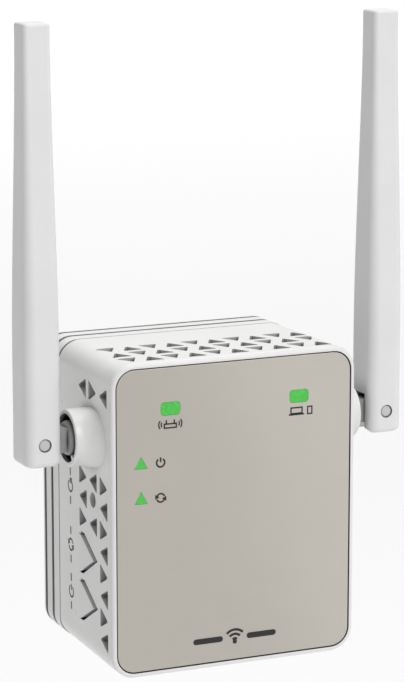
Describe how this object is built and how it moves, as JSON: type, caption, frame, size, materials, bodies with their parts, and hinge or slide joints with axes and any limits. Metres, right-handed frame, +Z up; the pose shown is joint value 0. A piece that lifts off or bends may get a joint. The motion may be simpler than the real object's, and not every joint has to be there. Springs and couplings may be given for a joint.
{
  "type": "plug-in wifi range extender",
  "caption": "Wall-plug wireless range extender: vented white case with champagne front plate, status lights, side push buttons, network socket and fold-and-swivel antennas.",
  "frame": {"origin": "between the two plug blades, on the flat back face that rests against the wall", "axes": "+X to the viewer's right, +Y into the wall along the blades, +Z up"},
  "size_m": [0.0872, 0.058, 0.1366],
  "materials": {
    "shell_white": "glossy moulded",
    "rear_white": "glossy moulded",
    "antenna_white": "satin moulded",
    "knuckle_grey": "satin moulded",
    "button_white": "glossy moulded",
    "panel_champagne": "satin metallic",
    "lens_green": "clear moulded, lit",
    "board_green": "solder mask",
    "black_plastic": "matte moulded",
    "ivory_plastic": "matte moulded",
    "steel": "brushed",
    "tinplate": "bright stamped",
    "brass": "drawn",
    "gold": "plated",
    "capacitor_sleeve": "shrunk sleeve",
    "ferrite": "sintered",
    "winding_tape": "taped coil",
    "coax_jacket": "extruded jacket",
    "label_silver": "matte film",
    "safety_blue": "dipped"
  },
  "bodies": {
    "case": {"front_shell": "shell_white", "front_panel": "panel_champagne", "rear_cover": "rear_white", "case_screws": "steel", "rating_label": "label_silver", "uplink_lens": "lens_green", "client_lens": "lens_green", "power_lens": "lens_green", "pairing_lens": "lens_green", "leds": "ivory_plastic", "plug_blades": "brass", "blade_carrier": "black_plastic", "main_board": "board_green", "main_board_spacers": "ivory_plastic", "main_board_screws": "steel", "processor": "black_plastic", "memory_chips": "black_plastic", "rf_shield": "tinplate", "coax_sockets": "gold", "ethernet_jack": "black_plastic", "ethernet_contacts": "gold", "power_board": "board_green", "power_board_screws": "steel", "transformer_core": "ferrite", "transformer_bobbin": "black_plastic", "transformer_winding": "winding_tape", "bulk_capacitors": "capacitor_sleeve", "output_capacitors": "capacitor_sleeve", "line_fuse": "ivory_plastic", "rectifier": "black_plastic", "filter_choke": "ferrite", "safety_capacitor": "safety_blue", "board_link": "black_plastic", "pairing_switch": "tinplate", "power_switch": "tinplate", "reset_switch": "tinplate", "left_body_coax": "coax_jacket", "right_body_coax": "coax_jacket"},
    "left_knuckle": {"left_antenna_swivel": "knuckle_grey", "left_swivel_clip": "steel"},
    "left_antenna": {"left_antenna_cover": "antenna_white", "left_hinge_pins": "antenna_white", "left_radiator": "brass", "left_antenna_coax": "coax_jacket"},
    "right_knuckle": {"right_antenna_swivel": "knuckle_grey", "right_swivel_clip": "steel"},
    "right_antenna": {"right_antenna_cover": "antenna_white", "right_hinge_pins": "antenna_white", "right_radiator": "brass", "right_antenna_coax": "coax_jacket"},
    "pairing_key": {"pairing_button": "button_white"},
    "power_key": {"power_button": "button_white"},
    "pairing_plunger_body": {"pairing_plunger": "black_plastic"},
    "power_plunger_body": {"power_plunger": "black_plastic"},
    "reset_plunger_body": {"reset_plunger": "black_plastic"}
  },
  "joints": [
    {"name": "left_swivel", "type": "hinge", "parent": "case", "child": "left_knuckle", "pos_m": [-0.0291, -0.0289, -0.0002], "axis": [1, 0, 0], "range_deg": [0, 180]},
    {"name": "left_fold", "type": "hinge", "parent": "left_knuckle", "child": "left_antenna", "pos_m": [-0.0396, -0.0289, -0.0002], "axis": [0, -1, 0], "range_deg": [0, 90]},
    {"name": "right_swivel", "type": "hinge", "parent": "case", "child": "right_knuckle", "pos_m": [0.0291, -0.0289, -0.0002], "axis": [1, 0, 0], "range_deg": [0, 180]},
    {"name": "right_fold", "type": "hinge", "parent": "right_knuckle", "child": "right_antenna", "pos_m": [0.0396, -0.0289, -0.0002], "axis": [0, 1, 0], "range_deg": [0, 90]},
    {"name": "pairing_press", "type": "hinge", "parent": "case", "child": "pairing_key", "pos_m": [-0.0251, -0.0209, -0.0267], "axis": [0, 0, 1], "range_deg": [0, 3.5], "stiffness_Nm_per_rad": 0.15, "springref_deg": -1.15},
    {"name": "power_press", "type": "hinge", "parent": "case", "child": "power_key", "pos_m": [-0.0251, -0.0209, -0.0371], "axis": [0, 0, 1], "range_deg": [0, 3.5], "stiffness_Nm_per_rad": 0.15, "springref_deg": -1.15},
    {"name": "pairing_plunger_slide", "type": "slide", "parent": "case", "child": "pairing_plunger_body", "axis": [1, 0, 0], "range_m": [0, 0.0006]},
    {"name": "power_plunger_slide", "type": "slide", "parent": "case", "child": "power_plunger_body", "axis": [1, 0, 0], "range_m": [0, 0.0006]},
    {"name": "reset_plunger_slide", "type": "slide", "parent": "case", "child": "reset_plunger_body", "axis": [1, 0, 0], "range_m": [0, 0.0005], "stiffness_N_per_m": 300, "springref_m": -0.0005}
  ],
  "couplings": [
    {"joint": "pairing_plunger_slide", "follows": "pairing_press", "m_per_rad": 0.0078},
    {"joint": "power_plunger_slide", "follows": "power_press", "m_per_rad": 0.0078}
  ]
}
